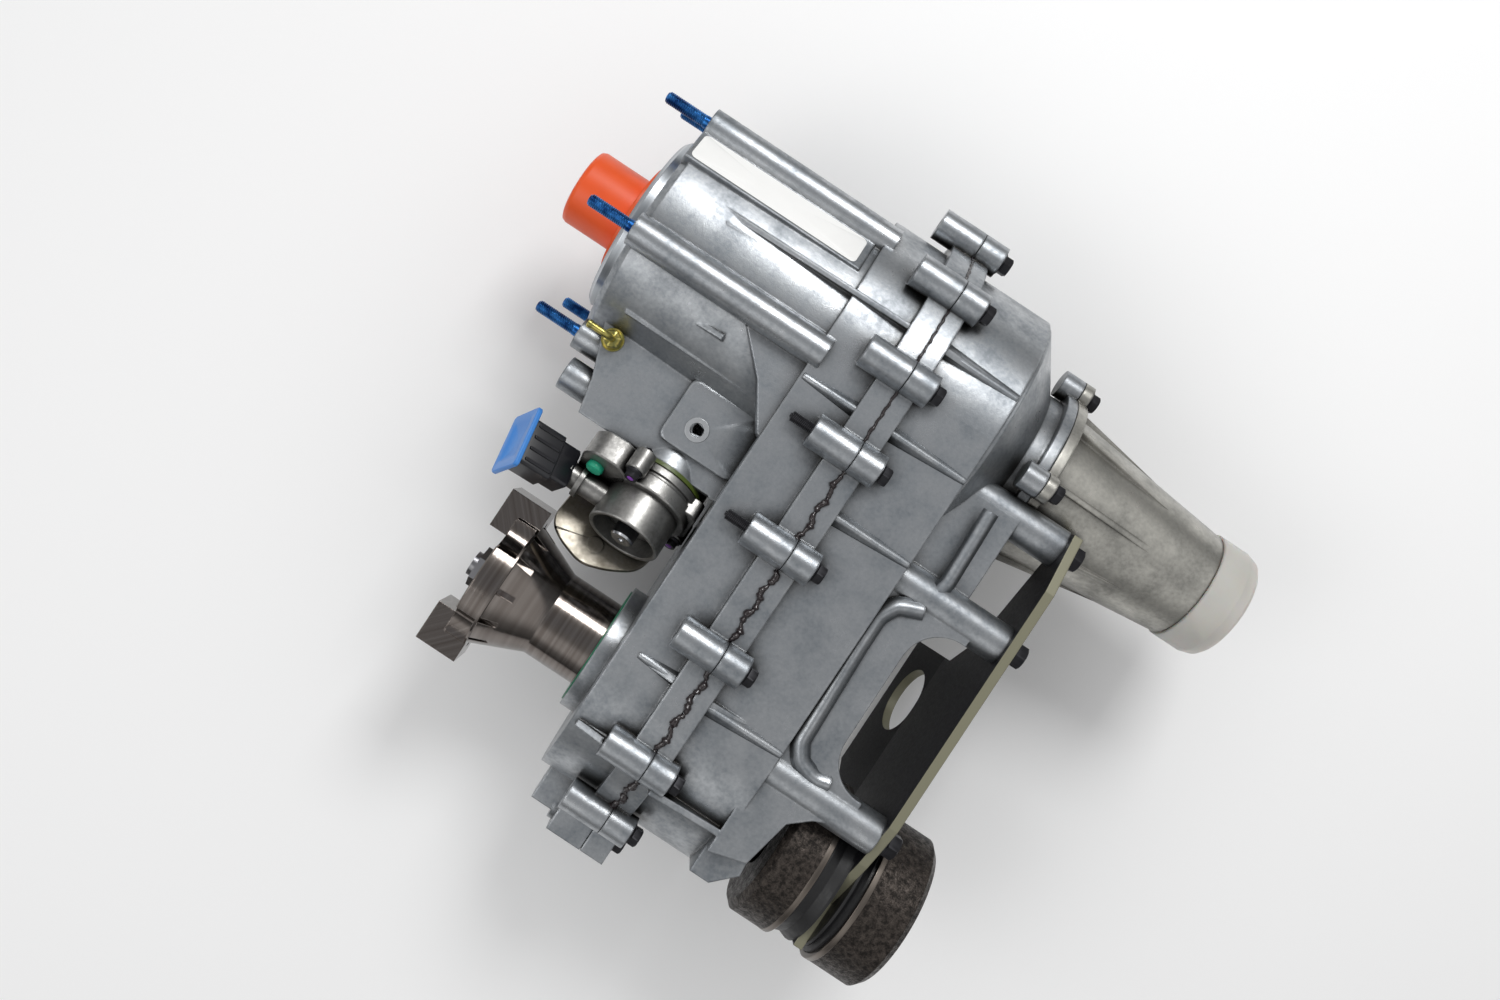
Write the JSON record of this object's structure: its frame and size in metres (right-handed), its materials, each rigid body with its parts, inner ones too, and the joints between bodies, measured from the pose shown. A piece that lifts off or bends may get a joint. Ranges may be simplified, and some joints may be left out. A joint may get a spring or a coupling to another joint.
{
  "type": "transfer case",
  "caption": "Two-speed chain-drive transfer case with planetary reduction, front output flange, electric shift actuator, tail housing and a bracket-mounted vibration damper.",
  "frame": {"origin": "where the main axis meets the front mounting face", "axes": "+X along the main shaft to the rear, -Y from the main shaft towards the front output, +Z the side seen in the picture"},
  "size_m": [0.586, 0.5522, 0.253],
  "materials": {
    "cast_aluminium": "as-cast, satin",
    "turned_aluminium": "turned",
    "sealant": "cured silicone bead",
    "orange_plastic": "moulded",
    "clear_plastic": "translucent moulded",
    "zinc_steel": "zinc plated, blue passivated",
    "black_plate": "black coating",
    "cast_iron": "rough cast",
    "black_rubber": "moulded",
    "green_rubber": "moulded",
    "dark_steel": "ground steel",
    "black_plastic": "moulded",
    "blue_plastic": "moulded",
    "green_plastic": "moulded",
    "label": "blank printed label",
    "yellow_zinc": "zinc plated, yellow passivated",
    "bronze": "bush",
    "flange_steel": "machined steel"
  },
  "bodies": {
    "casing": {"front_case_half": "cast_aluminium", "rear_case_half": "cast_aluminium", "case_sealant": "sealant", "tail_housing": "cast_aluminium", "tail_sealant": "sealant", "front_retainer": "turned_aluminium", "input_shipping_plug": "orange_plastic", "output_shipping_cap": "clear_plastic", "front_studs": "zinc_steel", "case_bolts": "zinc_steel", "case_long_bolts": "zinc_steel", "tail_bolts": "zinc_steel", "bracket_bolts": "zinc_steel", "damper_bracket": "black_plate", "damper_front_weight": "cast_iron", "damper_rear_weight": "cast_iron", "damper_front_rubber": "black_rubber", "damper_rear_rubber": "black_rubber", "damper_bolt": "zinc_steel", "actuator_gearbox": "cast_aluminium", "actuator_cover": "cast_aluminium", "actuator_motor": "zinc_steel", "actuator_seal": "green_rubber", "connector_body": "black_plastic", "connector_cap": "blue_plastic", "actuator_port_plug": "green_plastic", "actuator_bolts": "zinc_steel", "case_label": "label", "vent_tube": "yellow_zinc", "filler_plug": "dark_steel", "drain_plug": "dark_steel", "input_seal": "black_rubber", "front_output_seal": "black_rubber", "output_seal": "black_rubber", "tail_bush": "bronze", "input_bearing": "dark_steel", "mainshaft_bearing": "dark_steel", "front_output_bearing": "dark_steel", "needle_bearing": "dark_steel", "annulus_gear": "dark_steel", "shift_rail": "dark_steel", "chain": "dark_steel", "pump_housing": "cast_aluminium"},
    "main_rotor": {"input_gear": "dark_steel", "mainshaft": "dark_steel", "pump_rotor": "dark_steel"},
    "carrier": {"planet_carrier": "dark_steel"},
    "planet_1": {"planet_gear_1": "dark_steel"},
    "planet_2": {"planet_gear_2": "dark_steel"},
    "planet_3": {"planet_gear_3": "dark_steel"},
    "drive_sprocket_body": {"drive_sprocket": "dark_steel"},
    "front_output": {"front_output_shaft": "dark_steel", "driven_sprocket": "dark_steel", "front_output_flange": "flange_steel", "flange_nut": "zinc_steel"},
    "range_hub_body": {"range_hub": "dark_steel"},
    "mode_hub_body": {"mode_hub": "dark_steel"},
    "range_fork_body": {"range_fork": "cast_aluminium"},
    "mode_fork_body": {"mode_fork": "cast_aluminium"},
    "sector": {"sector_shaft": "dark_steel"}
  },
  "joints": [
    {"name": "input_spin", "type": "hinge", "parent": "casing", "child": "main_rotor", "pos_m": [0, 0, 0], "axis": [1, 0, 0], "continuous": true},
    {"name": "carrier_spin", "type": "hinge", "parent": "casing", "child": "carrier", "pos_m": [0.069, 0, 0], "axis": [1, 0, 0], "continuous": true},
    {"name": "planet_1_spin", "type": "hinge", "parent": "carrier", "child": "planet_1", "pos_m": [0.069, 0.05625, 0], "axis": [1, 0, 0], "continuous": true},
    {"name": "planet_2_spin", "type": "hinge", "parent": "carrier", "child": "planet_2", "pos_m": [0.069, -0.02812, 0.04871], "axis": [1, 0, 0], "continuous": true},
    {"name": "planet_3_spin", "type": "hinge", "parent": "carrier", "child": "planet_3", "pos_m": [0.069, -0.02813, -0.04871], "axis": [1, 0, 0], "continuous": true},
    {"name": "front_output_spin", "type": "hinge", "parent": "casing", "child": "front_output", "pos_m": [0.188, -0.28575, 0], "axis": [1, 0, 0], "continuous": true},
    {"name": "drive_sprocket_spin", "type": "hinge", "parent": "casing", "child": "drive_sprocket_body", "pos_m": [0.188, 0, 0], "axis": [1, 0, 0], "continuous": true},
    {"name": "sector_turn", "type": "hinge", "parent": "casing", "child": "sector", "pos_m": [0.11, -0.156, 0.03], "axis": [0, -0.9063, 0.4226], "range_deg": [0, 60]},
    {"name": "range_fork_slide", "type": "slide", "parent": "casing", "child": "range_fork_body", "axis": [1, 0, 0], "range_m": [0, 0.011]},
    {"name": "range_hub_slide", "type": "slide", "parent": "main_rotor", "child": "range_hub_body", "axis": [1, 0, 0], "range_m": [0, 0.011]},
    {"name": "mode_fork_slide", "type": "slide", "parent": "casing", "child": "mode_fork_body", "axis": [1, 0, 0], "range_m": [0, 0.011]},
    {"name": "mode_hub_slide", "type": "slide", "parent": "main_rotor", "child": "mode_hub_body", "axis": [1, 0, 0], "range_m": [0, 0.011]}
  ],
  "couplings": [
    {"joint": "carrier_spin", "follows": "input_spin", "ratio": 0.36667},
    {"joint": "planet_1_spin", "follows": "input_spin", "ratio": -1.7417},
    {"joint": "planet_2_spin", "follows": "input_spin", "ratio": -1.7417},
    {"joint": "planet_3_spin", "follows": "input_spin", "ratio": -1.7417},
    {"joint": "drive_sprocket_spin", "follows": "front_output_spin", "ratio": 1},
    {"joint": "sector_turn", "follows": "range_fork_slide", "rad_per_m": 95.2},
    {"joint": "range_hub_slide", "follows": "range_fork_slide", "ratio": 1},
    {"joint": "mode_hub_slide", "follows": "mode_fork_slide", "ratio": 1}
  ]
}
